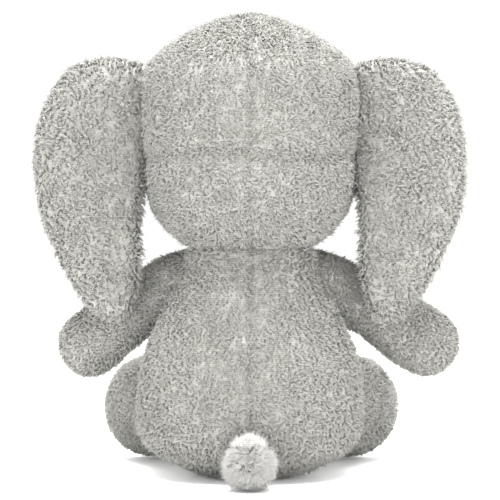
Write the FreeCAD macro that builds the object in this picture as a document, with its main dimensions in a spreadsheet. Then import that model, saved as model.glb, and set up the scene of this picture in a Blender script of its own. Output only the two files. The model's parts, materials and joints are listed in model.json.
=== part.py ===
"""Seated plush elephant with drooping ears and a pom-pom tail.

Millimetres, +Z up, the face looks along -Y and the toy's own left side is +X.
Every size sits in the Sizes sheet below.  The toy is modelled about the middle
of its head, then every piece is moved so that the resting surface is Z = 0 and
the origin is in the middle of the whole toy, seen from above.
"""
import FreeCAD
import Part

import math
import os
import re

from FreeCAD import Placement, Rotation, Vector

SIZES = [
    ("cloth_thick", 2.4, "plush cloth with its pile pressed down"),
    ("lining_thick", 1.4, "short pile cloth on the front of the ears and on the soles"),
    ("seam_gap", 0.2, "between two panels at a seam"),
    ("layer_gap", 0.3, "between cloth and stuffing"),
    ("play", 0.6, "between two pieces that move on each other"),
    ("side_seam_depth", 6, "how far behind the head's middle its side seam runs"),
    ("neck_height", 142, "middle of the neck, where the head nods"),
    ("neck_radius", 21, ""),
    ("seat_seam_height", 7, ""),
    ("shoulder_out", 51, ""),
    ("shoulder_back", 13, "back of the shoulder, behind the middle, clear of the ear"),
    ("shoulder_height", 122, ""),
    ("shoulder_radius", 21, ""),
    ("upper_arm_radius", 17, ""),
    ("hand_radius", 21.5, ""),
    ("hand_out", 107, ""),
    ("hand_forward", 30, ""),
    ("hand_height", 85, ""),
    ("hip_out", 38, ""),
    ("hip_forward", 46, ""),
    ("hip_radius", 28.5, ""),
    ("thigh_radius", 24, ""),
    ("foot_radius", 34.5, ""),
    ("foot_out", 68, ""),
    ("foot_forward", 105, ""),
    ("sole_reach", 18, "from the middle of the foot to the flat sole"),
    ("ear_hinge_out", 73, ""),
    ("ear_hinge_back", 8, ""),
    ("ear_hinge_height", 200, ""),
    ("ear_tilt", 5, "degrees, how far the ear's lower end leans back"),
    ("trunk_forward", 66, "middle of the trunk's root"),
    ("trunk_height", 203, ""),
    ("trunk_root_radius", 22, ""),
    ("trunk_radius", 17.5, ""),
    ("trunk_bend_radius", 14, ""),
    ("trunk_tip_radius", 12, ""),
    ("trunk_length", 50, "root to bend"),
    ("trunk_tip_length", 24, "bend to tip"),
    ("trunk_angle", 53, "degrees below level, root to bend"),
    ("trunk_tip_angle", 24, "degrees below level, bend to tip"),
    ("tail_radius", 19, ""),
    ("tail_gap", 3, "from the torso to the pom-pom"),
    ("tail_tie_radius", 2.4, ""),
    ("tail_tie_length", 6, ""),
    ("eye_out", 27, ""),
    ("eye_height", 238, ""),
    ("eye_radius", 6.2, ""),
    ("eye_stem_radius", 1.8, ""),
    ("eye_stem_length", 9, ""),
    ("eye_washer_radius", 7, ""),
    ("eye_washer_thick", 1.4, ""),
    ("pouch_half_width", 34, ""),
    ("pouch_half_depth", 15, ""),
    ("pouch_half_height", 16, ""),
    ("pouch_back", 28, ""),
    ("pouch_height", 23, ""),
    ("pouch_cloth", 0.8, ""),
]

# height, half width and half depth of the head, from its neck to its crown
HEAD = [
    (145, 30, 29),
    (149, 40, 38),
    (158, 53.5, 51),
    (169, 61.5, 58.5),
    (186, 66.5, 63),
    (205, 68.5, 65),
    (240, 69.5, 66),
    (258, 68, 64.5),
    (270, 62, 59.5),
    (281, 47.5, 46),
    (291, 29, 28.5),
    (300, 6, 6),
]

# height, half width and half depth of the torso, from its seat to its neck
TORSO = [
    (0, 38, 33),
    (8, 57, 47),
    (24, 68, 55),
    (45, 73.5, 60),
    (72, 69, 57),
    (90, 60, 50),
    (101, 52, 44),
    (118, 43, 38),
    (140, 35, 32),
]

# height from the hinge, inner and outer reach from the hinge, and half thickness of an ear
EAR = [
    (70, -1, 30, 2.0),
    (62, -3, 47, 4.2),
    (45, -3, 57, 6.0),
    (5, -3, 66, 7.0),
    (-35, -4.5, 62, 7.0),
    (-65, -9.5, 47.5, 6.2),
    (-82, -11, 37.5, 5.4),
    (-95, -6, 29, 4.0),
    (-102, 3, 20, 2.0),
]

doc = FreeCAD.newDocument("PlushElephant")
sheet = doc.addObject("Spreadsheet::Sheet", "Sizes")
names = set()
nodes = []


def add_size(name, value, note=""):
    row = str(len(names) + 1)
    sheet.set("A" + row, name)
    sheet.set("B" + row, str(value))
    sheet.setAlias("B" + row, name)
    if note:
        sheet.set("C" + row, note)
    names.add(name)


for size_name, size_value, size_note in SIZES:
    add_size(size_name, size_value, size_note)
for part, table in (("head", HEAD), ("torso", TORSO)):
    for number, (height, half_width, half_depth) in enumerate(table):
        add_size("%s%d_up" % (part, number), height)
        add_size("%s%d_wide" % (part, number), half_width)
        add_size("%s%d_deep" % (part, number), half_depth)
for number, (height, inner, outer, half_thick) in enumerate(EAR):
    add_size("ear%d_up" % number, height)
    add_size("ear%d_inner" % number, inner)
    add_size("ear%d_outer" % number, outer)
    add_size("ear%d_thick" % number, half_thick)
doc.recompute()


def value(name):
    return float(sheet.get(name))


def qualified(text):
    """The expression with the sheet's name put before each of its sizes."""
    def with_sheet(match):
        word = match.group(0)
        return "Sizes." + word if word in names else word
    return re.sub(r"[A-Za-z_][A-Za-z_0-9]*", with_sheet, str(text))


def bind(obj, **expressions):
    for prop, text in expressions.items():
        obj.setExpression(prop, qualified(text))
    return obj


def at(obj, x="0", y="0", z="0"):
    for letter, text in zip("xyz", (x, y, z)):
        obj.setExpression("Placement.Base." + letter, qualified(text))
    return obj


def ball(name, radius, x="0", y="0", z="0"):
    obj = doc.addObject("Part::Sphere", name)
    bind(obj, Radius=radius)
    return at(obj, x, y, z)


def ellipsoid(name, half_x, half_y, half_z, x="0", y="0", z="0"):
    obj = doc.addObject("Part::Ellipsoid", name)
    bind(obj, Radius1=half_z, Radius2=half_x, Radius3=half_y)
    return at(obj, x, y, z)


def cone(name, start, end, length, x="0", y="0", z="0"):
    obj = doc.addObject("Part::Cone", name)
    bind(obj, Radius1=start, Radius2=end, Height=length)
    return at(obj, x, y, z)


def rod(name, radius, length, x="0", y="0", z="0"):
    obj = doc.addObject("Part::Cylinder", name)
    bind(obj, Radius=radius, Height=length)
    return at(obj, x, y, z)


def block(name, low, high):
    """A box from low to high, each three expressions."""
    obj = doc.addObject("Part::Box", name)
    for prop, a, b in zip(("Length", "Width", "Height"), low, high):
        bind(obj, **{prop: "(%s) - (%s)" % (b, a)})
    return at(obj, *low)


def cut(name, base, *tools):
    for number, tool in enumerate(tools):
        last = number == len(tools) - 1
        obj = doc.addObject("Part::Cut", name if last else "%s_cut%d" % (name, number))
        obj.Base, obj.Tool = base, tool
        base = obj
    return base


def fuse(name, *shapes):
    obj = doc.addObject("Part::MultiFuse", name)
    obj.Shapes = list(shapes)
    return obj


def carried(name, source):
    """A copy of one piece that can be placed as a whole."""
    obj = doc.addObject("Part::Compound", name)
    obj.Links = [source]
    return obj


def common(name, first, second):
    obj = doc.addObject("Part::Common", name)
    obj.Base, obj.Tool = first, second
    return obj


def mirrored(name, source):
    obj = doc.addObject("Part::Mirroring", name)
    obj.Source, obj.Normal, obj.Base = source, Vector(1, 0, 0), Vector(0, 0, 0)
    return obj


def loft(name, sections):
    """A solid through level ellipses: height, half width, half depth and middle in x."""
    rings = []
    for number, (height, half_width, half_depth, middle) in enumerate(sections):
        ring = doc.addObject("Part::Ellipse", "%s_ring%d" % (name, number))
        bind(ring, MajorRadius=half_width, MinorRadius=half_depth)
        rings.append(at(ring, middle, "0", height))
    obj = doc.addObject("Part::Loft", name)
    obj.Sections, obj.Solid, obj.Ruled = rings, True, False
    return obj


def node(name, obj):
    obj.Label = name
    nodes.append((name, obj))
    return obj


FAR = "400"
HALF_GAP = "seam_gap / 2"


def half_space(name, side, offset="0"):
    """A big box on one side of a plane, half a seam gap away from it."""
    low, high = ["-" + FAR] * 3, [FAR] * 3
    axis = "xyz".index(side[1])
    if side[0] == "+":
        low[axis] = "(%s) + %s" % (offset, HALF_GAP)
    else:
        high[axis] = "(%s) - %s" % (offset, HALF_GAP)
    return block(name, low, high)


LEFT = half_space("left_half", "+x")
RIGHT = half_space("right_half", "-x")
FRONT = half_space("front_half", "-y")
BACK = half_space("back_half", "+y")


def stacked(name, part, table, inset):
    """The head or the torso as one loft, drawn in by an inset."""
    sections = []
    last = len(table) - 1
    for n in range(len(table)):
        end = "(%s) * %d" % (inset, 1 if n == 0 else -1 if n == last else 0)
        sections.append(("%s%d_up + %s" % (part, n, end),
                         "%s%d_wide - (%s)" % (part, n, inset),
                         "%s%d_deep - (%s)" % (part, n, inset), "0"))
    return loft(name, sections)


def head_body(name, inset):
    return stacked(name, "head", HEAD, inset)


def eye_placement():
    """Where an eye sits on the face, with Z out of the cloth."""
    x, z = value("eye_out"), value("eye_height")
    for n in range(len(HEAD) - 1):
        low, high = value("head%d_up" % n), value("head%d_up" % (n + 1))
        if low <= z <= high:
            share = (z - low) / (high - low)
            a, b = [value("head%d_%s" % (n, side)) * (1 - share)
                    + value("head%d_%s" % (n + 1, side)) * share for side in ("wide", "deep")]
            rise = (value("head%d_deep" % n) - value("head%d_deep" % (n + 1))) / (high - low)
    y = -b * math.sqrt(1 - (x / a) ** 2)
    out = Vector(x / a ** 2, y / b ** 2, 0).normalize()
    out = Vector(out.x, out.y, rise).normalize()
    return Placement(Vector(x, y, z) + out * 0.5, Rotation(Vector(0, 0, 1), out))


def build_head():
    outer = head_body("head_outside", "0")
    inner = head_body("head_inside", "cloth_thick")
    shell = cut("head_shell", outer, inner)
    neck_hole = ball("neck_hole", "neck_radius + seam_gap", z="neck_height")
    trunk_hole = ball("trunk_hole", "trunk_root_radius + play",
                      y="-trunk_forward", z="trunk_height")
    behind = half_space("head_behind", "+y", "side_seam_depth")
    before = half_space("head_before", "-y", "side_seam_depth")

    stem_hole = rod("eye_hole", "eye_stem_radius + 0.2", "30", z="-15")
    stem_hole = carried("left_eye_hole", stem_hole)
    stem_room = fuse("left_eye_room",
                     rod("eye_washer_room", "eye_washer_radius + layer_gap",
                         "cloth_thick + eye_washer_thick + 5",
                         z="-(cloth_thick + eye_washer_thick + 2)"),
                     rod("eye_stem_room", "eye_stem_radius + 0.2", "30", z="-15"))
    spot = eye_placement()
    stem_hole.Placement = spot
    stem_room.Placement = spot
    right_room = mirrored("right_eye_room", stem_room)

    rear = common("head_rear_shell", shell, behind)
    rear_left = cut("head_rear_left", common("head_rl", rear, LEFT), neck_hole)
    node("head_back_left", rear_left)
    node("head_back_right", mirrored("head_rear_right", rear_left))
    front = common("head_front_shell", shell, before)
    face = cut("face", common("face_whole", front, LEFT), neck_hole, trunk_hole, stem_hole)
    node("face_left", face)
    node("face_right", mirrored("face_mirrored", face))

    collar = cut("neck_cloth",
                 ball("neck_outside", "neck_radius", z="neck_height"),
                 ball("neck_inside", "neck_radius - cloth_thick", z="neck_height"),
                 head_body("neck_trim", "cloth_thick"))
    node("neck_collar", collar)
    filling = fuse("head_filling_whole",
                   head_body("head_filling", "cloth_thick + layer_gap"),
                   ball("neck_filling", "neck_radius - cloth_thick - layer_gap", z="neck_height"))
    node("head_stuffing", cut("head_fill", filling, trunk_hole, stem_room, right_room))

    dome = doc.addObject("Part::Sphere", "eye_dome")
    bind(dome, Radius="eye_radius")
    dome.Angle1, dome.Angle2 = 0, 90
    stem = rod("eye_stem", "eye_stem_radius", "eye_stem_length + 0.5", z="-eye_stem_length")
    eye = fuse("eye", dome, stem)
    eye.Placement = spot
    node("left_eye", eye)
    node("right_eye", mirrored("eye_mirrored", eye))
    washer = cut("eye_washer",
                 rod("washer_disc", "eye_washer_radius", "eye_washer_thick",
                     z="-(cloth_thick + eye_washer_thick + 0.8)"),
                 rod("washer_bore", "eye_stem_radius + 0.1", "30", z="-15"))
    washer.Placement = spot
    node("left_eye_washer", washer)
    node("right_eye_washer", mirrored("eye_washer_mirrored", washer))


def trunk_body(name, inset):
    """The trunk, along Z from its root, in its own frame."""
    root = ball(name + "_root", "trunk_root_radius - (%s)" % inset)
    upper = cone(name + "_upper", "trunk_radius - (%s)" % inset,
                 "trunk_bend_radius - (%s)" % inset, "trunk_length")
    bend = ball(name + "_bend", "trunk_bend_radius - (%s)" % inset, z="trunk_length")
    lower = cone(name + "_lower", "trunk_bend_radius - (%s)" % inset,
                 "trunk_tip_radius - (%s)" % inset, "trunk_tip_length", z="trunk_length")
    lower.Placement.Rotation = Rotation(
        Vector(1, 0, 0), value("trunk_angle") - value("trunk_tip_angle"))
    turn = "trunk_angle - trunk_tip_angle"
    tip = ball(name + "_tip", "trunk_tip_radius - (%s)" % inset,
               y="-trunk_tip_length * sin((%s) * 1 deg)" % turn,
               z="trunk_length + trunk_tip_length * cos((%s) * 1 deg)" % turn)
    return fuse(name, root, upper, bend, lower, tip)


def build_trunk():
    outer = trunk_body("trunk_outside", "0")
    inner = trunk_body("trunk_inside", "cloth_thick")
    shell = cut("trunk_shell", outer, inner)
    filling = trunk_body("trunk_filling", "cloth_thick + layer_gap")
    # turned so that the trunk's own Z points down its length, ahead of the face
    turn = Rotation(Vector(1, 0, 0), 90 + value("trunk_angle"))
    for name, obj in (("trunk_left", common("trunk_l", shell, LEFT)),
                      ("trunk_right", common("trunk_r", shell, RIGHT)),
                      ("trunk_stuffing", filling)):
        obj.Placement = Placement(Vector(), turn)
        at(obj, "0", "-trunk_forward", "trunk_height")
        node(name, obj)


def ear_body(name, inset):
    sections = []
    last = len(EAR) - 1
    for n in range(len(EAR)):
        end = "(%s) * %d" % (inset, -1 if n == 0 else 1 if n == last else 0)
        sections.append((
            "ear%d_up + %s" % (n, end),
            "(ear%d_outer - ear%d_inner) / 2 - (%s)" % (n, n, inset),
            "ear%d_thick - (%s) * %s" % (n, inset, "0.5" if n in (0, last) else "1"),
            "(ear%d_outer + ear%d_inner) / 2" % (n, n)))
    return loft(name, sections)


def build_ears():
    outer = ear_body("ear_outside", "0")
    inner = ear_body("ear_inside", "lining_thick")
    shell = cut("ear_shell", outer, inner)
    filling = ear_body("ear_filling", "lining_thick + layer_gap")
    turn = Rotation(Vector(1, 0, 0), value("ear_tilt"))
    for name, obj in (("ear_back", common("ear_rear", shell, BACK)),
                      ("ear_front", common("ear_fore", shell, FRONT)),
                      ("ear_wadding", filling)):
        obj.Placement = Placement(Vector(), turn)
        at(obj, "ear_hinge_out", "ear_hinge_back", "ear_hinge_height")
        node("left_" + name, obj)
        node("right_" + name, mirrored(name + "_mirrored", obj))


HIP_HEIGHT = "seat_seam_height + play + 1 + hip_radius"
SHOULDER_FORWARD = "(shoulder_radius - shoulder_back)"


def limb(name, root_radius, start_radius, end_radius, length, inset):
    """A limb along Z from the middle of its root ball."""
    return fuse(name,
                ball(name + "_root", "%s - (%s)" % (root_radius, inset)),
                cone(name + "_tube", "%s - (%s)" % (start_radius, inset),
                     "%s - (%s)" % (end_radius, inset), length),
                ball(name + "_end", "%s - (%s)" % (end_radius, inset), z=length))


def hip_height():
    return value("seat_seam_height") + value("play") + 1 + value("hip_radius")


def build_arms():
    reach = ("sqrt((hand_out - shoulder_out)^2 + (hand_forward - %s)^2"
             " + (hand_height - shoulder_height)^2)" % SHOULDER_FORWARD)
    radii = ("shoulder_radius", "upper_arm_radius", "hand_radius", reach)
    outer = limb("arm_outside", *radii, "0")
    inner = limb("arm_inside", *radii, "cloth_thick")
    shell = cut("arm_shell", outer, inner)
    filling = limb("arm_filling", *radii, "cloth_thick + layer_gap")
    along = Vector(value("hand_out") - value("shoulder_out"),
                   value("shoulder_radius") - value("shoulder_back") - value("hand_forward"),
                   value("hand_height") - value("shoulder_height"))
    turn = Rotation(Vector(0, 0, 1), along)
    for name, obj in (("arm_back", common("arm_rear", shell, BACK)),
                      ("arm_front", common("arm_fore", shell, FRONT)),
                      ("arm_stuffing", filling)):
        obj.Placement = Placement(Vector(), turn)
        at(obj, "shoulder_out", "-" + SHOULDER_FORWARD, "shoulder_height")
        node("left_" + name, obj)
        node("right_" + name, mirrored(name + "_mirrored", obj))


def build_legs():
    reach = ("sqrt((foot_out - hip_out)^2 + (foot_forward - hip_forward)^2"
             " + (foot_radius - (%s))^2)" % HIP_HEIGHT)
    radii = ("hip_radius", "thigh_radius", "foot_radius", reach)
    beyond = block("beyond_sole", ["-" + FAR, "-" + FAR, "%s + sole_reach" % reach], [FAR] * 3)
    inside = block("inside_sole", ["-" + FAR, "-" + FAR,
                                   "%s + sole_reach - lining_thick - layer_gap" % reach],
                   [FAR] * 3)
    outer = cut("leg_outside_flat", limb("leg_outside", *radii, "0"), beyond)
    inner = limb("leg_inside", *radii, "cloth_thick")
    shell = cut("leg_shell", outer, inner)
    filling = cut("leg_filling_flat", limb("leg_filling", *radii, "cloth_thick + layer_gap"),
                  inside)
    sole = rod("sole_disc",
               "sqrt((foot_radius - cloth_thick)^2 - sole_reach^2) - seam_gap",
               "lining_thick", z="%s + sole_reach - lining_thick" % reach)
    along = Vector(value("foot_out") - value("hip_out"),
                   value("hip_forward") - value("foot_forward"),
                   value("foot_radius") - hip_height())
    # the leg's own -Y is turned to point up, so that its seams run along its two sides
    level = Rotation(Vector(1, 0, 0), 90)
    heading = math.degrees(math.atan2(along.x, -along.y))
    dip = math.degrees(math.atan2(along.z, math.hypot(along.x, along.y)))
    turn = Rotation(Vector(0, 0, 1), heading) * Rotation(Vector(1, 0, 0), -dip) * level
    for name, obj in (("leg_top", common("leg_upper", shell, BACK)),
                      ("leg_under", common("leg_lower", shell, FRONT)),
                      ("leg_stuffing", filling),
                      ("foot_sole", sole)):
        if name == "foot_sole":
            obj = carried("sole_placed", sole)
        obj.Placement = Placement(Vector(), turn)
        at(obj, "hip_out", "-hip_forward", HIP_HEIGHT)
        node("left_" + name, obj)
        node("right_" + name, mirrored(name + "_mirrored", obj))


def torso_body(name, inset):
    return stacked(name, "torso", TORSO, inset)


def build_torso():
    shell = cut("torso_shell", torso_body("torso_outside", "0"),
                torso_body("torso_inside", "cloth_thick"))
    neck = ball("neck_socket", "neck_radius + play", z="neck_height")
    shoulder = ball("left_shoulder_socket", "shoulder_radius + play",
                    "shoulder_out", "-" + SHOULDER_FORWARD, "shoulder_height")
    hip = ball("left_hip_socket", "hip_radius + play", "hip_out", "-hip_forward", HIP_HEIGHT)
    sockets = fuse("sockets", neck, shoulder, mirrored("right_shoulder_socket", shoulder),
                   hip, mirrored("right_hip_socket", hip))
    above = half_space("above_seat_seam", "+z", "seat_seam_height")
    below = half_space("below_seat_seam", "-z", "seat_seam_height")
    upper = cut("torso_upper_shell", common("torso_upper", shell, above), sockets)
    rear = common("torso_rear_left", common("torso_rear", upper, BACK), LEFT)
    fore = common("torso_fore_left", common("torso_fore", upper, FRONT), LEFT)
    node("back_left", rear)
    node("back_right", mirrored("torso_rear_mirrored", rear))
    node("belly_left", fore)
    node("belly_right", mirrored("torso_fore_mirrored", fore))
    node("seat", common("torso_seat", shell, below))

    def pouch(name, inset):
        return ellipsoid(name, "pouch_half_width - (%s)" % inset,
                         "pouch_half_depth - (%s)" % inset, "pouch_half_height - (%s)" % inset,
                         y="pouch_back", z="pouch_height")

    node("torso_stuffing", cut("torso_fill",
                               torso_body("torso_filling", "cloth_thick + layer_gap"),
                               sockets, pouch("pouch_room", "-layer_gap")))
    node("pellet_pouch", cut("pouch", pouch("pouch_outside", "0"),
                             pouch("pouch_inside", "pouch_cloth")))
    node("pellets", pouch("pellet_fill", "pouch_cloth + layer_gap"))


TAIL_BACK = "(torso2_deep - 0.5)"


def build_tail():
    middle = TAIL_BACK + " + tail_gap + tail_radius"
    pompom = ball("pompom", "tail_radius", y=middle, z="tail_radius")
    tie = rod("tail_tie_rod", "tail_tie_radius", "tail_tie_length", z="play")
    tie = carried("tail_tie_turned", tie)
    tie.Placement = Placement(Vector(), Rotation(Vector(1, 0, 0), -90))
    at(tie, "0", TAIL_BACK, "tail_radius")
    node("tail_pompom", cut("pompom_tied", pompom,
                            rod_along_y("tie_room", "tail_tie_radius + 0.1",
                                        TAIL_BACK + " + play", "tail_tie_length + 0.2")))
    node("tail_tie", tie)


def rod_along_y(name, radius, start, length):
    obj = carried(name, rod(name + "_rod", radius, length))
    obj.Placement = Placement(Vector(), Rotation(Vector(1, 0, 0), -90))
    return at(obj, "0", start, "tail_radius")


def check(name, obj):
    state = [word for word in obj.State if word in ("Invalid", "Error")]
    shape = obj.Shape
    if state or shape.isNull() or not shape.isValid() or not shape.Solids:
        raise RuntimeError("%s did not build: %s" % (name, obj.State))
    return shape


def main():
    build_head()
    build_trunk()
    build_ears()
    build_arms()
    build_legs()
    build_torso()
    build_tail()
    doc.recompute()
    for obj in doc.Objects:
        if any(word in ("Invalid", "Error") for word in obj.State):
            raise RuntimeError("%s did not build: %s" % (obj.Name, obj.State))
    shapes = [(name, check(name, obj)) for name, obj in nodes]
    whole = FreeCAD.BoundBox()
    for name, shape in shapes:
        whole.add(shape.optimalBoundingBox(False, False))
    shift = Vector(0, -(whole.YMin + whole.YMax) / 2, 0)
    print("box %.2f %.2f %.2f to %.2f %.2f %.2f, moved by y %.3f"
          % (whole.XMin, whole.YMin, whole.ZMin, whole.XMax, whole.YMax, whole.ZMax, shift.y))
    os.makedirs("parts", exist_ok=True)
    for name, shape in shapes:
        moved = shape.copy()
        moved.translate(shift)
        solid = moved.Solids[0] if len(moved.Solids) == 1 else moved
        solid.exportStep("parts/%s.step" % name)
        print("%-22s solids %d  volume %9.0f" % (name, len(shape.Solids), shape.Volume))


main()
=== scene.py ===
"""Seated plush elephant: fleecy skins over stuffed shapes, drooping ears, pom-pom tail."""
import json
import math

import bmesh
import bpy
import numpy as np
from bpy.props import FloatProperty, FloatVectorProperty, PointerProperty
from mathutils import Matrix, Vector
from mathutils.bvhtree import BVHTree


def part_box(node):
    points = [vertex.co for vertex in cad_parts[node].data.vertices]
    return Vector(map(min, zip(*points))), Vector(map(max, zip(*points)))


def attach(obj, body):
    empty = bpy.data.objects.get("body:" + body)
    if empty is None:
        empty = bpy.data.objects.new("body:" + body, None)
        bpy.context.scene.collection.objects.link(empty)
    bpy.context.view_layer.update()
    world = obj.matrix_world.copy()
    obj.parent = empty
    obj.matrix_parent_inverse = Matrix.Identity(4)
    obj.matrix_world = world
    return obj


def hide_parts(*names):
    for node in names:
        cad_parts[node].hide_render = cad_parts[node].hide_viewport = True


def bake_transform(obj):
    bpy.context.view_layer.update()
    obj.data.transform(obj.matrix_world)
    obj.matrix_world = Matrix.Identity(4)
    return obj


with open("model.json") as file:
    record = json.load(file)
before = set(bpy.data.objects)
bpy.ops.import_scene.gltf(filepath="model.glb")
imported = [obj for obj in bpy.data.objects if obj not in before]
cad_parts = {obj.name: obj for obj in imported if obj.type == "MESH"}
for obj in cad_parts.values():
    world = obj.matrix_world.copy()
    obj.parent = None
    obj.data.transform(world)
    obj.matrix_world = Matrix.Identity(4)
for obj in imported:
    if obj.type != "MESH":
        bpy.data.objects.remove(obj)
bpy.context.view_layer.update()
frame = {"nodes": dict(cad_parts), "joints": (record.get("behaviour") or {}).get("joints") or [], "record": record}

bl_info = {
    "name": "Plush Elephant",
    "version": (1, 0, 0),
    "blender": (4, 5, 0),
    "location": "3D View > Sidebar > Plush",
    "description": "Builds a seated plush elephant with its pile, ears, limbs, trunk and tail",
    "category": "Object",
}

MM = 0.001
JOINTS = {joint["name"]: joint for joint in frame["joints"]}
MIDDLE_Y = JOINTS["neck_nod"]["pos_m"][1] / MM

SEAM_REACH = 3.0  # mm either side of a seam over which the cloth is drawn in
PRESSED = 1.4  # mm; pile lower than this is pressed flat against the floor
FLOOR_GAP = 0.3  # mm left under pressed pile
PLACES_PER_CELL = 9  # places tried for each tuft before one is kept
CELL_STRIDE = 4096  # more cells than the toy is wide, to number them in one row
SHADES = 64  # how many shades the locks have

# how much the locks of one cloth differ, in degrees
FLOW_SCATTER = 24
LEAN_SCATTER = 12
LEAN_SWIRL = 10
LEAST_LEAN, MOST_LEAN = 3, 80
TIP_CURL, TIP_SCATTER = 62, 8
SWAY, SWAY_SCATTER = 38, 10


def linear(hex_colour):
    """An sRGB hex colour as linear RGB."""
    parts = [int(hex_colour[i:i + 2], 16) / 255 for i in (1, 3, 5)]
    return [c / 12.92 if c <= 0.04045 else ((c + 0.055) / 1.055) ** 2.4 for c in parts]


def colour_property(name, description, hex_colour):
    return FloatVectorProperty(name=name, description=description, subtype="COLOR", size=3,
                               min=0, max=1, default=linear(hex_colour))


def length_property(name, description, mm):
    return FloatProperty(name=name, description=description, default=mm * MM,
                         subtype="DISTANCE", unit="LENGTH")


class PileSettings(bpy.types.PropertyGroup):
    """Length, spacing and colour of the plush pile"""
    length: length_property("Pile length", "Length of one tuft of the grey plush", 5.4)
    tuft_width: length_property("Tuft width", "Width of one lock of fibres at its middle", 0.38)
    spacing: length_property("Tuft spacing", "Distance between neighbouring tufts", 1.65)
    tail_length: length_property("Tail pile length", "Length of the pom-pom's fibres", 9.0)
    sole_length: length_property(
        "Sole pile length", "Length of the short pile on the soles and ear linings", 2.3)
    # the root colour, darker than the tip, is painted shade deep in the pile
    root: colour_property("Root colour", "Colour deep in the grey plush", "#B6B5AF")
    tip: colour_property("Tip colour", "Colour at the tips of the grey plush", "#F8F8F1")
    tail: colour_property("Tail colour", "Colour of the white pom-pom", "#B6B5B2")
    lining: colour_property("Lining colour", "Colour of the ear lining and soles", "#A89E98")


class BodySettings(bpy.types.PropertyGroup):
    """Sizes of the stuffed shapes under the pile"""
    fullness: length_property("Fullness", "How far the stuffing fills the skins out", 0.9)
    seam_depth: length_property("Seam depth", "How far a seam draws the cloth in", 1.5)
    crease_depth: length_property("Crease depth", "Depth of the crease across the head", 1.6)
    pressure: FloatProperty(name="Pressure", description="Pressure of the stuffing in the cloth",
                            default=3.0, min=0)


class StageSettings(bpy.types.PropertyGroup):
    """Floor, lights and camera"""
    floor: colour_property("Floor colour", "Colour of the plain pale floor", "#FFFFFF")
    distance: length_property("Camera distance", "From the lens to the middle of the toy", 1200)
    height: length_property("Camera height", "Height of the lens over the floor", 145.2)
    frame_width: length_property("Frame width", "Width seen at the toy's middle", 320.5)
    light: FloatProperty(name="Light", description="Strength of the studio lights",
                         default=1.0, min=0)


# ---------------------------------------------------------------- shapes

def at(x, y, z):
    """A point in millimetres about the toy's middle, in the frame's metres."""
    return Vector((x * MM, (y + MIDDLE_Y) * MM, z * MM))


def smooth_rows(rows, count):
    """Rows of numbers made into many, on a smooth curve through them."""
    rows = np.array(rows, float)
    steps = np.linalg.norm(np.diff(rows[:, :3], axis=0), axis=1) ** 0.7
    t = np.concatenate(([0], np.cumsum(steps)))
    slope = np.gradient(rows, t, axis=0)
    want = np.linspace(0, t[-1], count)
    i = np.clip(np.searchsorted(t, want, "right") - 1, 0, len(t) - 2)
    h = (t[i + 1] - t[i])[:, None]
    s = ((want - t[i]) / (t[i + 1] - t[i]))[:, None]
    return ((2 * s ** 3 - 3 * s ** 2 + 1) * rows[i] + (s ** 3 - 2 * s ** 2 + s) * h * slope[i]
            + (3 * s ** 2 - 2 * s ** 3) * rows[i + 1] + (s ** 3 - s ** 2) * h * slope[i + 1])


def new_object(name, points, faces):
    """An object in the scene, from points in metres and faces."""
    mesh = bpy.data.meshes.new(name)
    mesh.from_pydata([tuple(p) for p in points], [], faces)
    mesh.update()
    obj = bpy.data.objects.new(name, mesh)
    bpy.context.scene.collection.objects.link(obj)
    return obj


def lathe(name, rows, rings=56, around=72, roundness=2.15):
    """A closed skin through level rings: x, y, z of the middle, half width, half depth."""
    rows = smooth_rows(rows, rings)
    angles = np.linspace(0, 2 * np.pi, around, endpoint=False)
    power = 2 / roundness
    across = np.sign(np.cos(angles)) * np.abs(np.cos(angles)) ** power
    ahead = np.sign(np.sin(angles)) * np.abs(np.sin(angles)) ** power
    points = [at(r[0] + r[3] * a, r[1] + r[4] * b, r[2])
              for r in rows for a, b in zip(across, ahead)]
    return close_rings(name, points, rings, around,
                       at(*rows[0][:3]), at(*rows[-1][:3]))


def close_rings(name, points, rings, around, first, last):
    """Joins rings of points into a skin and closes both its ends."""
    faces = []
    for r in range(rings - 1):
        for a in range(around):
            b = (a + 1) % around
            faces.append((r * around + a, r * around + b,
                          (r + 1) * around + b, (r + 1) * around + a))
    points = list(points) + [first, last]
    end = rings * around
    for a in range(around):
        b = (a + 1) % around
        faces.append((b, a, end))
        faces.append(((rings - 1) * around + a, (rings - 1) * around + b, end + 1))
    return new_object(name, points, faces)


def tube(name, rows, rings=48, around=56, up=(0, 0, 1)):
    """A closed skin along a bent line: x, y, z of the middle, half width, half height."""
    rows = smooth_rows(rows, rings)
    middle = rows[:, :3]
    along = np.gradient(middle, axis=0)
    along /= np.linalg.norm(along, axis=1)[:, None]
    side = np.cross(along, np.array(up, float))
    side /= np.linalg.norm(side, axis=1)[:, None]
    over = np.cross(side, along)
    angles = np.linspace(0, 2 * np.pi, around, endpoint=False)
    points = [at(*(middle[r] + side[r] * rows[r, 3] * math.cos(a)
                   + over[r] * rows[r, 4] * math.sin(a)))
              for r in range(rings) for a in angles]
    return close_rings(name, points, rings, around, at(*middle[0]), at(*middle[-1]))


def outward(obj):
    """Turns every face outwards."""
    work = bmesh.new()
    work.from_mesh(obj.data)
    bmesh.ops.recalc_face_normals(work, faces=work.faces)
    work.to_mesh(obj.data)
    work.free()
    obj.data.update()
    return obj


def apply_modifiers(obj):
    """Makes the modifiers' result the object's own mesh."""
    shown = obj.evaluated_get(bpy.context.evaluated_depsgraph_get())
    mesh = bpy.data.meshes.new_from_object(shown)
    old = obj.data
    obj.modifiers.clear()
    obj.data = mesh
    bpy.data.meshes.remove(old)


def vertex_array(mesh, what="co"):
    """The mesh's points, or its normals, as rows of three."""
    values = np.empty(len(mesh.vertices) * 3, np.float32)
    mesh.vertices.foreach_get(what, values)
    return values.reshape(-1, 3).astype(float)


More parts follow.
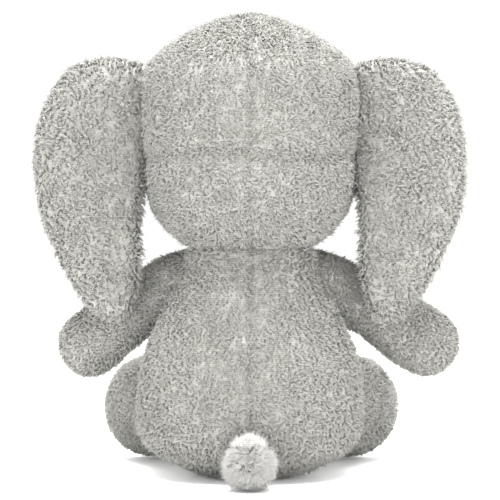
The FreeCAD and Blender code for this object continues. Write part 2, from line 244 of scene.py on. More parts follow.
def inflate(obj, cap, frames=14):
    """Stuffs a skin: cloth under pressure, with how far it may move kept small."""
    _, body, _ = sizes()
    before = vertex_array(obj.data)
    cloth = obj.modifiers.new("stuffing", "CLOTH")
    cloth.settings.use_pressure = True
    cloth.settings.uniform_pressure_force = body.pressure
    cloth.settings.effector_weights.gravity = 0
    cloth.settings.tension_stiffness = 20
    cloth.settings.compression_stiffness = 12
    cloth.settings.bending_stiffness = 0.6
    cloth.point_cache.frame_start, cloth.point_cache.frame_end = 1, frames
    for number in range(1, frames + 1):
        bpy.context.scene.frame_set(number)
    apply_modifiers(obj)
    bpy.context.scene.frame_set(1)
    after = vertex_array(obj.data)
    if len(after) == len(before):
        move = after - before
        far = np.linalg.norm(move, axis=1)
        share = np.minimum(1, cap * MM / np.maximum(far, 1e-9))
        obj.data.vertices.foreach_set(
            "co", (before + move * share[:, None]).astype(np.float32).ravel())
    smooth = obj.modifiers.new("smooth", "SUBSURF")
    smooth.levels = smooth.render_levels = 1
    apply_modifiers(obj)
    filled = vertex_array(obj.data) + body.fullness * vertex_array(obj.data, "normal")
    obj.data.vertices.foreach_set("co", filled.astype(np.float32).ravel())
    obj.data.update()


def press_seams(obj, seams):
    """Draws the skin in along seams: each a function from points in mm to distance and depth."""
    mesh = obj.data
    points, normals = vertex_array(mesh), vertex_array(mesh, "normal")
    mm = points / MM - np.array([0, MIDDLE_Y, 0])
    pull = np.zeros(len(points))
    for seam in seams:
        distance, depth, reach = seam(mm)
        pull = np.maximum(pull, depth * np.exp(-(distance / reach) ** 2))
    moved = points - normals * (pull * MM)[:, None]
    mesh.vertices.foreach_set("co", moved.astype(np.float32).ravel())
    mesh.update()


def middle_seam(depth):
    """The seam down the middle of the back and the front."""
    return lambda p: (np.abs(p[:, 0]), np.where(np.abs(p[:, 1]) > 5, depth, 0.0), SEAM_REACH)


def thicken(obj, thick):
    """Gives a single sheet the thickness of its cloth, in mm, inwards."""
    solid = obj.modifiers.new("cloth", "SOLIDIFY")
    solid.thickness, solid.offset = thick * MM, -1
    apply_modifiers(obj)
    return outward(obj)


def panel(name, source, chosen, lift=0.8, thick=1.6):
    """A cloth panel sewn over part of a skin.

    chosen says which points it covers, from their places in mm and their normals.
    """
    mesh = source.data
    places = vertex_array(mesh) / MM - np.array([0, MIDDLE_Y, 0])
    normals = vertex_array(mesh, "normal")
    picked = chosen(places, normals)
    faces = [tuple(face.vertices) for face in mesh.polygons
             if all(picked[corner] for corner in face.vertices)]
    used = sorted({corner for face in faces for corner in face})
    number = {corner: i for i, corner in enumerate(used)}
    points = [at(*(places[corner] + normals[corner] * lift)) for corner in used]
    obj = new_object(name, points, [tuple(number[c] for c in face) for face in faces])
    smooth = obj.modifiers.new("soft edge", "SMOOTH")
    smooth.iterations = 3
    return thicken(obj, thick)


def round_panel(name, source, centre, aim, radius, lift=1.0, thick=1.6, rings=16, around=72):
    """A round cloth panel laid on the end of a skin, square to aim."""
    mesh = source.data
    tree = BVHTree.FromPolygons([corner.co for corner in mesh.vertices],
                                [tuple(face.vertices) for face in mesh.polygons])
    aim = Vector(aim)
    across = aim.cross(Vector((0, 0, 1))).normalized()
    up = across.cross(aim)
    start = at(*centre) + aim * 80 * MM

    def laid(out, angle):
        off = (across * math.cos(angle) + up * math.sin(angle)) * out * MM
        place, normal, _, _ = tree.ray_cast(start + off, -aim)
        return place + normal * lift * MM

    points = [laid(0, 0)]
    for ring in range(1, rings + 1):
        points += [laid(radius * ring / rings, 2 * math.pi * step / around)
                   for step in range(around)]
    faces = [(0, 1 + step, 1 + (step + 1) % around) for step in range(around)]
    for ring in range(rings - 1):
        first = 1 + ring * around
        for step in range(around):
            beside = (step + 1) % around
            faces.append((first + step, first + around + step, first + around + beside,
                          first + beside))
    return thicken(new_object(name, points, faces), thick)


# ---------------------------------------------------------------- pile

def swirl(points, seed, size=22.0):
    """Slow random waves over the cloth, mostly from -1 to 1, as in brushed and handled pile."""
    rng = np.random.default_rng(seed)
    total = np.zeros(len(points))
    for _ in range(7):
        wave = rng.normal(size=3) * 2 * np.pi / (size * rng.uniform(0.7, 1.9))
        total += np.sin(points @ wave + rng.uniform(0, 2 * np.pi))
    return total / 3.2


def unit(vectors):
    """Rows of vectors, each made one long."""
    return vectors / np.maximum(np.linalg.norm(vectors, axis=1)[:, None], 1e-9)


def sample_skin(mesh, spacing, rng, keep):
    """Tuft places on the skin: points and normals in mm, even over its area."""
    mesh.calc_loop_triangles()
    tris = np.empty(len(mesh.loop_triangles) * 3, np.int32)
    mesh.loop_triangles.foreach_get("vertices", tris)
    tris = tris.reshape(-1, 3)
    points = vertex_array(mesh) / MM - np.array([0, MIDDLE_Y, 0])
    normals = vertex_array(mesh, "normal")
    a, b, c = (points[tris[:, i]] for i in range(3))
    area = np.linalg.norm(np.cross(b - a, c - a), axis=1) / 2
    count = int(area.sum() / spacing ** 2 * PLACES_PER_CELL)
    steps = rng.uniform(0, 1, count) * area.sum()
    face = np.clip(np.searchsorted(np.cumsum(area), steps), 0, len(tris) - 1)
    u, v = rng.uniform(size=count), rng.uniform(size=count)
    over = u + v > 1
    u[over], v[over] = 1 - u[over], 1 - v[over]
    w = 1 - u - v
    spot = w[:, None] * a[face] + u[:, None] * b[face] + v[:, None] * c[face]
    normal = unit(w[:, None] * normals[tris[face, 0]] + u[:, None] * normals[tris[face, 1]]
                  + v[:, None] * normals[tris[face, 2]])
    # one place to each cell of a slanting grid, which leaves no bare patches
    slant = np.linalg.qr(rng.normal(size=(3, 3)))[0]
    cell = np.floor(spot @ slant / spacing).astype(np.int64)
    number = cell @ np.array([1, CELL_STRIDE, CELL_STRIDE ** 2])
    first = np.unique(number, return_index=True)[1]
    spot, normal = spot[first], normal[first]
    held = keep(spot, normal) if keep else np.ones(len(spot), bool)
    return spot[held], normal[held]


def strands(spot, normal, comb, lean, length, width, per_tuft, spread, seed, curl=0.3,
            swirl_angle=50.0):
    """Tapered locks of fibre, a few in each tuft, whose tips lean together.

    comb gives the direction the pile lies in, lean how far it lies over in degrees.
    Returns each lock's seven points in mm, and its shade's number.
    """
    rng = np.random.default_rng(seed)
    count = len(spot)
    direction = comb(spot)
    direction = unit(direction - normal * np.sum(direction * normal, 1)[:, None] + 1e-6)
    side = np.cross(normal, direction)
    turn = np.radians(swirl(spot, seed + 1) * swirl_angle + rng.normal(0, FLOW_SCATTER, count))
    flow = direction * np.cos(turn)[:, None] + side * np.sin(turn)[:, None]
    slant = np.radians(np.clip(lean(spot) + rng.normal(0, LEAN_SCATTER, count)
                               + LEAN_SWIRL * swirl(spot, seed + 2, 14.0), LEAST_LEAN, MOST_LEAN))
    size = length * rng.uniform(0.72, 1.18, count) * (1 + 0.12 * swirl(spot, seed + 3, 30.0))
    each = np.repeat(np.arange(count), per_tuft)
    total = len(each)
    normal, flow, slant = normal[each], flow[each], slant[each]
    size = size[each] * rng.uniform(0.8, 1.12, total)
    side = np.cross(normal, flow)
    angle, radius = rng.uniform(0, 2 * np.pi, total), spread * np.sqrt(rng.uniform(0, 1, total))
    offset = flow * (np.cos(angle) * radius)[:, None] + side * (np.sin(angle) * radius)[:, None]
    root = spot[each] + offset - normal * 0.5
    over = slant + np.radians(rng.uniform(0, TIP_CURL, count)[each]
                              + rng.normal(0, TIP_SCATTER, total))
    sway = np.radians(rng.normal(0, SWAY, count)[each] + rng.normal(0, SWAY_SCATTER, total))
    twisted = flow * np.cos(sway)[:, None] + side * np.sin(sway)[:, None]
    aim = normal * np.cos(over)[:, None] + twisted * np.sin(over)[:, None]
    rise = normal * np.cos(slant * 0.5)[:, None] + flow * np.sin(slant * 0.5)[:, None]
    bend = side * rng.normal(0, curl, total)[:, None]
    middle = root + rise * (size * 0.5)[:, None] - offset * 0.25 + bend * (size * 0.2)[:, None]
    tip = (middle + aim * (size * 0.5)[:, None] - offset * 0.65
           + rng.normal(0, 0.12, (total, 3)))
    thick = width * rng.uniform(0.7, 1.25, total)
    return tapered(root, middle, tip, thick, rng), rng.integers(0, SHADES, count)[each]


def tapered(root, middle, tip, thick, rng):
    """Three-sided tapered locks: two rings of three points and a tip each."""
    total = len(root)
    along = unit(tip - root)
    other = unit(rng.normal(size=(total, 3)))
    u = unit(np.cross(along, other))
    v = np.cross(along, u)
    points = np.empty((total, 7, 3))
    for ring, (centre, share) in enumerate(((root, 0.85), (middle, 1.0))):
        for corner in range(3):
            turn = 2 * np.pi * corner / 3 + 0.5 * ring
            out = u * math.cos(turn) + v * math.sin(turn)
            points[:, ring * 3 + corner] = centre + out * (thick * share * 0.5)[:, None]
    points[:, 6] = tip
    return points


# one lock: its faces, and for each of its seven points how far along it is and how far round
QUADS = [(0, 1, 4, 3), (1, 2, 5, 4), (2, 0, 3, 5)]
CAPS = [(3, 4, 6), (4, 5, 6), (5, 3, 6), (2, 1, 0)]
ALONG = [0.02, 0.02, 0.02, 0.5, 0.5, 0.5, 0.98]
ROUND = [0.0, 0.25, 0.5, 0.0, 0.25, 0.5, 0.3]
FOOT_ALONG = [0.0, 0.03, 0.015]
LOCK_POINTS = 7
LOCK_LOW, LOCK_HIGH = 0.06, 0.93  # where the locks start on the map, and how much they take
SKIN_LOW, SKIN_HIGH = 0.002, 0.04  # the same for the skin


def pressed_flat(points):
    """Lays the pile that would be under the floor on it, in the same order of height."""
    height = np.minimum(points[:, 2], PRESSED)
    room = PRESSED - FLOOR_GAP
    laid = FLOOR_GAP + room * np.exp((height - PRESSED) / room)
    points[:, 2] = np.maximum(points[:, 2], laid)
    return points


def add_pile(obj, points, shade):
    """Joins the locks to their skin as one mesh.

    The map holds, across, which shade a lock has and, up, how far along the lock a
    corner is.  The skin has the strip at the map's foot.
    """
    mesh = obj.data
    skin_points = vertex_array(mesh)
    base = len(skin_points)
    total = len(points)
    world = pressed_flat(points.reshape(-1, 3) + np.array([0, MIDDLE_Y, 0])) * MM
    loops = np.empty(len(mesh.loops), np.int32)
    mesh.loops.foreach_get("vertex_index", loops)
    skin_sizes = np.empty(len(mesh.polygons), np.int32)
    mesh.polygons.foreach_get("loop_total", skin_sizes)
    start = base + np.arange(total, dtype=np.int64)[:, None] * LOCK_POINTS
    corners = [corner for face in QUADS + CAPS for corner in face]
    lock_loops = (start + np.array(corners)[None]).astype(np.int32)
    lock_sizes = np.tile([4, 4, 4, 3, 3, 3, 3], total).astype(np.int32)
    all_loops = np.concatenate((loops, lock_loops.ravel()))
    all_sizes = np.concatenate((skin_sizes, lock_sizes))
    starts = np.concatenate(([0], np.cumsum(all_sizes)[:-1])).astype(np.int32)
    whole = bpy.data.meshes.new(obj.name)
    whole.vertices.add(base + LOCK_POINTS * total)
    whole.vertices.foreach_set(
        "co", np.concatenate((skin_points, world)).astype(np.float32).ravel())
    whole.loops.add(len(all_loops))
    whole.loops.foreach_set("vertex_index", all_loops)
    whole.polygons.add(len(all_sizes))
    whole.polygons.foreach_set("loop_start", starts)
    slots = np.zeros(len(all_sizes), np.int32)
    slots[len(skin_sizes):] = 1
    whole.polygons.foreach_set("material_index", slots)
    whole.polygons.foreach_set("use_smooth", np.ones(len(all_sizes), bool))

    left = (shade + 0.25) / SHADES
    corner_along = np.array([ALONG[c] for c in corners])
    corner_round = np.array([ROUND[c] for c in corners]) / SHADES
    uv = np.empty((total, len(corners), 2), np.float32)
    uv[:, :, 0] = left[:, None] + corner_round[None]
    uv[:, :, 1] = LOCK_LOW + LOCK_HIGH * corner_along[None]
    uv[:, -3:, 1] = LOCK_LOW + LOCK_HIGH * np.array(FOOT_ALONG)[None]
    skin = np.empty((len(loops), 2), np.float32)
    place = skin_points[loops]
    low, high = place.min(0), place.max(0)
    skin[:, 0] = (place[:, 0] - low[0]) / (high[0] - low[0])
    skin[:, 1] = SKIN_LOW + SKIN_HIGH * (place[:, 2] - low[2]) / (high[2] - low[2])
    layer = whole.uv_layers.new(name="OFBake")
    layer.data.foreach_set("uv", np.concatenate((skin, uv.reshape(-1, 2))).ravel())
    whole.update()
    whole.validate()
    old = obj.data
    obj.data = whole
    bpy.data.meshes.remove(old)


def sizes():
    """The panel's three groups of values."""
    scene = bpy.context.scene
    return scene.plush_pile, scene.plush_body, scene.plush_stage


def cover(obj, comb, lean, keep=None, seed=1, length=1.0, density=1.0, width=1.0, per_tuft=3,
          spread=0.55, curl=0.3, swirl_angle=50.0,
          materials=("knitted backing", "grey fleece pile")):
    """Covers a skin with pile, where keep says, and gives both their materials.

    length and width are shares of the pile's own; spread is a tuft's half width in mm.
    """
    pile, _, _ = sizes()
    rng = np.random.default_rng(seed)
    step = pile.spacing / MM / math.sqrt(density)
    spot, normal = sample_skin(obj.data, step, rng, keep)
    locks, shade = strands(spot, normal, comb, lean, pile.length / MM * length,
                           pile.tuft_width / MM * width, per_tuft, spread, seed, curl,
                           swirl_angle)
    add_pile(obj, locks, shade)
    obj.data.materials.clear()
    for finish in materials:
        obj.data.materials.append(material(finish))


def cover_short(obj, comb, seed):
    """Covers a lining or sole with its short, close pile."""
    pile, _, _ = sizes()
    cover(obj, comb, even(48), seed=seed, length=pile.sole_length / pile.length, density=1.9,
          width=0.75, spread=0.5, curl=0.2, materials=("short velour", "short velour pile"))


# ---------------------------------------------------------------- materials

def add_node(tree, kind, settings=(), inputs=(), links=()):
    """Adds one node with its settings, its inputs' values and its links."""
    node = tree.nodes.new(kind)
    for name, setting in dict(settings).items():
        setattr(node, name, setting)
    for name, number in dict(inputs).items():
        node.inputs[name].default_value = number
    for name, socket in dict(links).items():
        tree.links.new(socket, node.inputs[name])
    return node


def grain(mm):
    """The scale of a noise texture whose lumps are this many millimetres across."""
    return 1000 / mm


def darker(colour, share):
    return [c * share for c in colour]


def two_colours(tree, source, low, high, spots=(0.0, 1.0)):
    """A run from one linear colour to another, driven by a socket."""
    ramp = add_node(tree, "ShaderNodeValToRGB", links={"Fac": source})
    for element, spot, colour in zip(ramp.color_ramp.elements, spots, (low, high)):
        element.position = spot
        element.color = (*colour, 1)
    return ramp.outputs["Color"]


def plain_material(name):
    """An empty material and its node tree."""
    made = bpy.data.materials.new(name)
    made.use_nodes = True
    made.node_tree.nodes.clear()
    return made, made.node_tree


def finish_material(tree, shader):
    add_node(tree, "ShaderNodeOutputMaterial", links={"Surface": shader.outputs["BSDF"]})


def fibre_material(name, root, tip, spread, roughness, sheen):
    """Polyester fibre: matt locks, each a little lighter or darker, and paler to the tip, the darker root being
    painted shade deep in the pile.
    """
    made, tree = plain_material(name)
    place = add_node(tree, "ShaderNodeUVMap", {"uv_map": "OFBake"})
    parts = add_node(tree, "ShaderNodeSeparateXYZ", links={"Vector": place.outputs["UV"]})
    # darker at the root than at the tip: painted shade deep in the pile
    along = two_colours(tree, parts.outputs["Y"], root, tip, (0.05, 0.8))
    shades = add_node(tree, "ShaderNodeMath", {"operation": "MULTIPLY"}, {1: SHADES},
                      {0: parts.outputs["X"]})
    whole = add_node(tree, "ShaderNodeMath", {"operation": "FLOOR"},
                     links={0: shades.outputs["Value"]})
    chance = add_node(tree, "ShaderNodeTexWhiteNoise", {"noise_dimensions": "1D"},
                      links={"W": whole.outputs["Value"]})
    amount = add_node(tree, "ShaderNodeMapRange", {},
                      {"To Min": 1 - spread, "To Max": 1 + spread},
                      {"Value": chance.outputs["Value"]})
    mixed = add_node(tree, "ShaderNodeVectorMath", {"operation": "SCALE"},
                     links={0: along, "Scale": amount.outputs["Result"]})
    shader = add_node(tree, "ShaderNodeBsdfPrincipled", {},
                      {"Roughness": roughness, "Specular IOR Level": 0.25, "IOR": 1.54,
                       "Sheen Weight": sheen, "Sheen Roughness": 0.5},
                      {"Base Color": mixed.outputs["Vector"]})
    finish_material(tree, shader)
    return made


def backing_material(name, colour):
    """Knitted backing cloth: fine ribs one stitch apart, seen only between the tufts, its colour darkened as
    painted shade deep in the pile.
    """
    made, tree = plain_material(name)
    place = add_node(tree, "ShaderNodeTexCoord")
    stitch = 1.2 * MM
    knit = add_node(tree, "ShaderNodeTexWave", {"bands_direction": "Z"},
                    {"Scale": 2 * math.pi / (20 * stitch), "Distortion": 2.0},
                    {"Vector": place.outputs["Object"]})
    shade = two_colours(tree, knit.outputs["Fac"], darker(colour, 0.88), colour)
    bump = add_node(tree, "ShaderNodeBump", {}, {"Strength": 0.4, "Distance": 0.0003},
                    {"Height": knit.outputs["Fac"]})
    shader = add_node(tree, "ShaderNodeBsdfPrincipled", {},
                      {"Roughness": 0.95, "Specular IOR Level": 0.2},
                      {"Base Color": shade, "Normal": bump.outputs["Normal"]})
    finish_material(tree, shader)
    return made


def velour_material(name, colour):
    """Short velour: a soft nap a quarter of a millimetre across, drawn 1 mm so it shows."""
    made, tree = plain_material(name)
    place = add_node(tree, "ShaderNodeTexCoord")
    nap = add_node(tree, "ShaderNodeTexNoise", {}, {"Scale": grain(1.0), "Detail": 3.0},
                   {"Vector": place.outputs["Object"]})
    brushed = add_node(tree, "ShaderNodeTexNoise", {}, {"Scale": grain(18.0), "Detail": 2.0},
                       {"Vector": place.outputs["Object"]})
    both = add_node(tree, "ShaderNodeMath", {"operation": "MULTIPLY_ADD"}, {1: 0.4},
                    {0: nap.outputs["Fac"], 2: brushed.outputs["Fac"]})
    shade = two_colours(tree, both.outputs["Value"], darker(colour, 0.8), colour, (0.45, 0.95))
    bump = add_node(tree, "ShaderNodeBump", {}, {"Strength": 0.5, "Distance": 0.0004},
                    {"Height": nap.outputs["Fac"]})
    shader = add_node(tree, "ShaderNodeBsdfPrincipled", {},
                      {"Roughness": 0.9, "Specular IOR Level": 0.2, "Sheen Weight": 0.5,
                       "Sheen Roughness": 0.4},
                      {"Base Color": shade, "Normal": bump.outputs["Normal"]})
    finish_material(tree, shader)
    return made


def eye_material(name):
    """Moulded ABS: glossy black, with the faint orange-peel of a moulding."""
    made, tree = plain_material(name)
    place = add_node(tree, "ShaderNodeTexCoord")
    peel = add_node(tree, "ShaderNodeTexNoise", {}, {"Scale": grain(1.5), "Detail": 1.0},
                    {"Vector": place.outputs["Object"]})
    bump = add_node(tree, "ShaderNodeBump", {}, {"Strength": 0.03, "Distance": 0.0001},
                    {"Height": peel.outputs["Fac"]})
    tint = two_colours(tree, peel.outputs["Fac"], linear("#0B0A0A"), linear("#151313"))
    shader = add_node(tree, "ShaderNodeBsdfPrincipled", {},
                      {"Roughness": 0.08, "IOR": 1.54, "Coat Weight": 0.3},
                      {"Base Color": tint, "Normal": bump.outputs["Normal"]})
    finish_material(tree, shader)
    return made


def inside_material(name, colour):
    """Polyester wadding, pellets and inner cloth, which never show: soft white lumps."""
    made, tree = plain_material(name)
    place = add_node(tree, "ShaderNodeTexCoord")
    lumps = add_node(tree, "ShaderNodeTexNoise", {}, {"Scale": grain(6.0), "Detail": 4.0},
                     {"Vector": place.outputs["Object"]})
    shade = two_colours(tree, lumps.outputs["Fac"], darker(colour, 0.85), colour)
    shader = add_node(tree, "ShaderNodeBsdfPrincipled", {}, {"Roughness": 0.9},
                      {"Base Color": shade})
    finish_material(tree, shader)
    return made


def material(name):
    """The named finish, made the first time it is asked for."""
    if name in bpy.data.materials:
        return bpy.data.materials[name]
    pile, _, _ = sizes()
    makers = {
        # each fibre runs from a darker root colour to its tip colour: painted shade deep in the pile
        "grey fleece pile": lambda n: fibre_material(n, pile.root, pile.tip, 0.24, 0.85, 0.25),
        "white pom-pom yarn": lambda n: fibre_material(
            n, darker(pile.tail, 0.92), pile.tail, 0.04, 0.8, 0.2),
        "short velour pile": lambda n: fibre_material(
            n, darker(pile.lining, 0.8), pile.lining, 0.06, 0.85, 0.35),
        # the backings are drawn at about half and 0.7 of their pile's colour: painted shade between the tufts
        "knitted backing": lambda n: backing_material(n, darker(pile.root, 0.52)),
        "white backing": lambda n: backing_material(n, darker(pile.tail, 0.7)),
        "short velour": lambda n: velour_material(n, pile.lining),
        "moulded ABS": eye_material,
        "polyester wadding": lambda n: inside_material(n, linear("#EFEEEA")),
    }
    return makers[name](name)


# ---------------------------------------------------------------- the pieces

def down_and(out, ahead=0.0, down=1.0):
    """A comb that lays pile outwards from the toy's middle, and down."""
    def comb(points):
        side = np.tanh(points[:, 0] / 25.0)
        return np.stack([side * out, np.full(len(points), ahead), np.full(len(points), -down)], 1)
    return comb


def steady(x, y, z):
    """A comb that lays pile the same way everywhere."""
    return lambda points: np.stack([np.full(len(points), float(part)) for part in (x, y, z)], 1)


def even(degrees):
    """The same lean everywhere."""
    return lambda points: np.full(len(points), float(degrees))


def pivot(name):
    """A joint's place in mm about the toy's middle."""
    place = JOINTS[name]["pos_m"]
    return np.array([place[0] / MM, place[1] / MM - MIDDLE_Y, place[2] / MM])


# across, back and up of each ring's middle, then its half width and half depth
TORSO = [
    (0, 0, 4.0, 22, 20), (0, 0, 5.5, 31, 28), (0, 0, 8.5, 38.5, 34), (0, 0, 13, 49, 41),
    (0, 0, 18, 59.5, 48.5), (0, 0, 25, 66, 53), (0, 0, 40, 69.5, 56), (0, 0, 60, 68.5, 55.5),
    (0, 0, 80, 64.5, 51.5), (0, 0, 97, 57, 45),
    (0, 0, 115, 48.5, 39), (0, 0, 132, 41, 34), (0, 0, 146, 36, 30), (0, 0, 156, 22, 20),
    (0, 0, 158, 8, 8),
]
HEAD = [
    (0, 0, 146, 12, 12), (0, 0, 147.5, 29, 28), (0, 0, 151, 39, 37), (0, 0, 158, 49, 47),
    (0, 0, 168, 57.5, 54.5), (0, 0, 184, 63, 60), (0, 0, 205, 65.5, 62), (0, 0, 232, 67, 63),
    (0, 0, 250, 66.5, 62), (0, 0, 262, 62.5, 58.5), (0, 0, 272, 52, 50), (0, 0, 281, 38, 37.5),
    (0, 0, 288.5, 22.5, 22.5), (0, 0, 293, 9, 9), (0, 0, 294, 3, 3),
]


def build_torso():
    obj = outward(lathe("torso_skin", TORSO))
    inflate(obj, cap=1.6)
    _, body, _ = sizes()
    press_seams(obj, [middle_seam(body.seam_depth / MM)])
    cover(obj, down_and(0.5), even(40), lambda p, n: (p[:, 2] < 152) & (p[:, 2] > 1.0), seed=11,
          length=0.95, density=0.66, per_tuft=5, spread=0.85)
    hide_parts("back_left", "back_right", "belly_left", "belly_right", "seat",
                "torso_stuffing", "pellet_pouch", "pellets")
    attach(obj, "torso")


def build_head():
    obj = outward(lathe("head_skin", HEAD, roundness=2.2))
    inflate(obj, cap=1.6)
    _, body, _ = sizes()
    fold = body.crease_depth / MM

    def crease(p):
        """The wavy crease across the back of the head."""
        return (np.abs(p[:, 2] - 203 - 1.5 * np.sin(p[:, 0] / 16.0)),
                np.where(p[:, 1] > 5, fold, 0.0), 4.5)

    press_seams(obj, [middle_seam(body.seam_depth / MM), crease])
    cover(obj, down_and(1.0, down=0.45), even(50), seed=21, density=0.8, per_tuft=4, spread=0.75)
    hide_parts("head_back_left", "head_back_right", "face_left", "face_right",
                "neck_collar", "head_stuffing")
    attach(obj, "head")


# up, inner edge, outer edge and half thickness, about the hinge
EAR = [
    (65.5, 8, 20, 1.5), (63.5, 2, 31, 3.8), (58.5, -7, 41, 6.2), (51.5, -11, 47.5, 7.8),
    (43, -12, 53, 8.6), (30, -12, 57.8, 9.2), (5, -9, 61.6, 9.6), (-20, -4, 59.5, 9.6),
    (-40, -1.5, 54, 9.4), (-58, -1.5, 46.5, 9.0), (-74, 0.5, 38, 8.2), (-85, 3, 30, 6.8),
    (-92, 6, 24, 4.8), (-96.5, 10, 18, 2.0),
]
EAR_TILT = 5  # degrees, foot forward
EAR_ROUNDNESS = 2.3


def build_ear(side, sign, rings=60, around=64):
    hinge = pivot(side + "_ear_flap")
    tilt = math.radians(EAR_TILT)
    rows = smooth_rows([(abs(hinge[0]) + (inner + outer) / 2, up, 0, (outer - inner) / 2, thick)
                        for up, inner, outer, thick in EAR], rings)
    angles = np.linspace(0, 2 * np.pi, around, endpoint=False)
    power = 2 / EAR_ROUNDNESS
    points = []
    for x, up, _, half, thick in rows:
        for a in angles:
            px = x + half * math.copysign(abs(math.cos(a)) ** power, math.cos(a))
            py = thick * math.copysign(abs(math.sin(a)) ** power, math.sin(a))
            points.append(at(px * sign, hinge[1] + py - up * math.sin(tilt),
                             hinge[2] + up * math.cos(tilt)))
    ends = [at(rows[i][0] * sign, hinge[1] - rows[i][1] * math.sin(tilt),
               hinge[2] + rows[i][1] * math.cos(tilt)) for i in (0, -1)]
    obj = outward(close_rings(side + "_ear_skin", points, rings, around, *ends))
    inflate(obj, cap=1.2)
    middles, heights, halves = (rows[::-1, column] for column in (0, 1, 3))

    def from_edge(p):
        """How far in from the ear's outline each point is, in mm."""
        up = (p[:, 2] - hinge[2]) / math.cos(tilt)
        half = np.interp(up, heights, halves)
        across = half - np.abs(np.abs(p[:, 0]) - np.interp(up, heights, middles))
        return np.minimum(across, np.minimum(heights[-1] - up, up - heights[0]))

    lining = panel(side + "_ear_lining", obj,
                   lambda p, n: (n[:, 1] < -0.3) & (from_edge(p) > 7.5), lift=1.0)

    def outside(p, n):
        """Where the plush is: all but the front, which the lining covers."""
        return ~((n[:, 1] < -0.3) & (from_edge(p) > 10.5))

    def comb(p):
        out = np.clip((np.abs(p[:, 0]) - abs(hinge[0])) / 60.0, -0.1, 1)
        height = np.clip((p[:, 2] - 215) / 55.0, -1, 1)
        return np.stack([sign * (0.35 + out), np.zeros(len(p)), -0.45 + 0.9 * height * out], 1)

    def lean(p):
        """The pile stands at the inner seam and lies over towards the outline."""
        out = np.clip((np.abs(p[:, 0]) - abs(hinge[0])) / 45.0, 0, 1)
        return 24 + 34 * out

    cover(obj, comb, lean, outside, seed=31 + (sign > 0), length=1.12, density=0.46, per_tuft=7,
          spread=1.15, curl=0.2)
    cover_short(lining, comb, seed=35 + (sign > 0))
    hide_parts(side + "_ear_back", side + "_ear_wadding")
    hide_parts(side + "_ear_front")
    for piece in (obj, lining):
        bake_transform(piece)


# out, back, up, half width and half height along each arm
LEFT_ARM = [
    (20, -8, 129, 6, 6), (24, -9, 128, 13, 13), (34, -13, 126.5, 17, 17),
    (47, -15, 123, 16.5, 17.5), (60, -17, 116, 16.5, 17.5), (75, -19, 106, 16.5, 17),
    (90, -21, 95, 17, 17.5), (101, -26, 86.5, 18, 18.5),
    (109.5, -29, 80.5, 16.5, 17.5), (116, -31, 76, 11, 12), (119, -32, 74, 3, 4),
]
RIGHT_ARM = [
    (20, -8, 129, 6, 6), (24, -9, 128, 13, 13), (34, -13, 126.5, 17, 17),
    (47, -15, 123.5, 16.5, 17.5), (62, -17, 117, 16.5, 17.5), (80, -19, 108, 16.5, 17),
    (96, -22, 97, 17.5, 18.5), (110, -26, 87.5, 19, 19.5), (120, -29, 81.5, 17, 18),
    (127.5, -31, 77.5, 11.5, 12.5), (131, -32, 75.5, 3, 4),
]
# share of the way from hip to foot, half width and half height
LEG = [
    (-0.34, 6, 6), (-0.3, 14, 14), (-0.15, 22, 23), (0.1, 25, 26), (0.4, 26.5, 27),
    (0.7, 28.5, 29), (0.92, 30.5, 31.5), (1.08, 30, 31.5), (1.18, 27.5, 29.5),
    (1.235, 23, 25.5), (1.245, 12, 13), (1.25, 3, 3),
]
SOLE_RADIUS = 24.5
# back and up from the trunk's pivot, half width and half height
TRUNK = [
    (16, 6, 8, 8), (12, 4, 17, 17), (4, 0, 19.5, 20), (-8, -10, 17, 17),
    (-18, -24, 14.5, 14.5), (-28, -38, 12.5, 12.5), (-40, -48, 11, 11), (-52, -51, 10, 10),
    (-58, -51, 7.5, 7.5), (-60, -51, 3, 3),
]


def build_arm(side, sign, arm):
    rows = [(sign * out, back, up, wide, high) for out, back, up, wide, high in arm]
    obj = outward(tube(side + "_arm_skin", rows))
    inflate(obj, cap=1.2)
    cover(obj, steady(sign * 0.8, 0, -0.6), even(44), seed=41 + (sign > 0), length=0.95,
          density=0.8, per_tuft=5, spread=0.85)
    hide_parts(side + "_arm_back", side + "_arm_front", side + "_arm_stuffing")
    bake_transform(obj)


def build_leg(side, sign):
    hip = pivot(side + "_leg_lift")
    foot = np.array((sign * 68.3 - 0.8, -104, 37))
    start = np.array((hip[0] * 0.96, hip[1] + 6, hip[2]))
    rows = [(*(start + (foot - start) * share), wide, high) for share, wide, high in LEG]
    obj = outward(tube(side + "_leg_skin", rows))
    inflate(obj, cap=1.2)
    aim = foot - hip
    aim /= np.linalg.norm(aim)

    def off_the_sole(p, n):
        """Where the plush is: all but the end that the sole covers."""
        off = p - foot
        from_axis = np.linalg.norm(off - (off @ aim)[:, None] * aim, axis=1)
        return ~((n @ aim > 0.35) & (from_axis < SOLE_RADIUS - 2))

    sole = round_panel(side + "_foot_sole_pad", obj, foot, aim, SOLE_RADIUS)
    comb = steady(sign * 0.3, -0.6, -0.7)
    cover(obj, comb, even(42), off_the_sole, seed=51 + (sign > 0), length=0.95, density=0.8,
          per_tuft=5, spread=0.85)
    cover_short(sole, comb, seed=55 + (sign > 0))
    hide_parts(side + "_leg_top", side + "_leg_under", side + "_leg_stuffing")
    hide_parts(side + "_foot_sole")
    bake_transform(obj)
    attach(sole, side + "_leg")


def build_trunk():
    root = pivot("trunk_curl")
    rows = [(0, root[1] + back, root[2] + up, wide, high) for back, up, wide, high in TRUNK]
    obj = outward(tube("trunk_skin", rows, up=(1, 0, 0)))
    inflate(obj, cap=0.8)
    cover(obj, steady(0, -0.5, -0.8), even(48), seed=61, length=0.75, density=0.9, per_tuft=4,
          spread=0.8)
    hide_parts("trunk_left", "trunk_right", "trunk_stuffing")
    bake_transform(obj)


